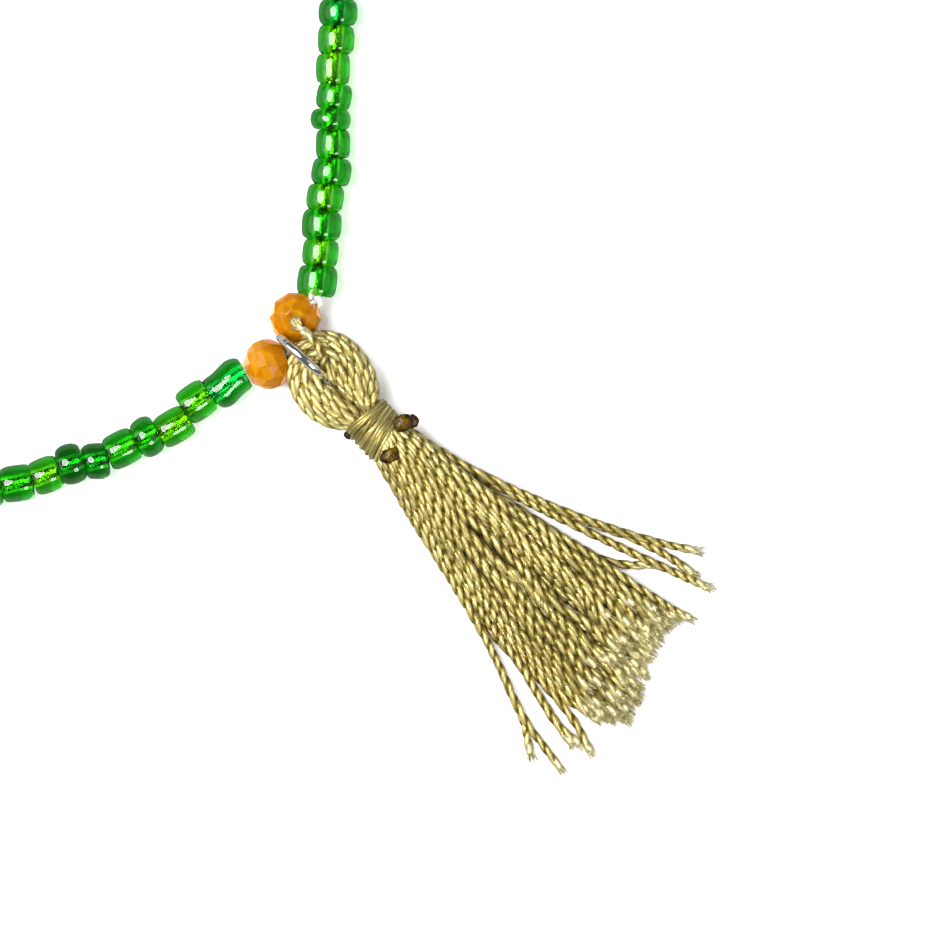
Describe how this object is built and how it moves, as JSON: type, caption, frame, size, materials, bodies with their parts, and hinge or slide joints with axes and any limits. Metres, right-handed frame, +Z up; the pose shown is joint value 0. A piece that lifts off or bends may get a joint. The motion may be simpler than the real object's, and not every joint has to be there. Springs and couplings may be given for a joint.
{
  "type": "beaded anklet",
  "caption": "Stretch anklet of green glass seed beads with two faceted orange rondelles and a gold silk tassel on a jump ring, lying flat.",
  "frame": {"origin": "bottom centre of the whole anklet's box, on the surface it lies on", "axes": "+Z up from the surface, -Y towards the tassel's tips, +X to the right of the tassel seen from above"},
  "size_m": [0.0812, 0.1246, 0.0052],
  "materials": {
    "green_glass": "silver-lined transparent green glass",
    "orange_glass": "opal orange glass, cut and polished, with a pale lustre",
    "silver_metal": "bright plated wire",
    "gold_silk": "plied silky thread, khaki gold",
    "binding_silk": "fine silky thread, closely wound",
    "melted_thread": "brown glassy melted thread",
    "clear_elastic": "clear stretch cord, whitish at its knot"
  },
  "bodies": {
    "root": {"bead_string": "green_glass", "stretch_cord": "clear_elastic", "rondelle_upper": "orange_glass", "rondelle_lower": "orange_glass", "jump_ring": "silver_metal", "tassel": "gold_silk", "neck_binding": "binding_silk", "melted_end_1": "melted_thread", "melted_end_2": "melted_thread", "melted_end_3": "melted_thread"}
  },
  "joints": []
}
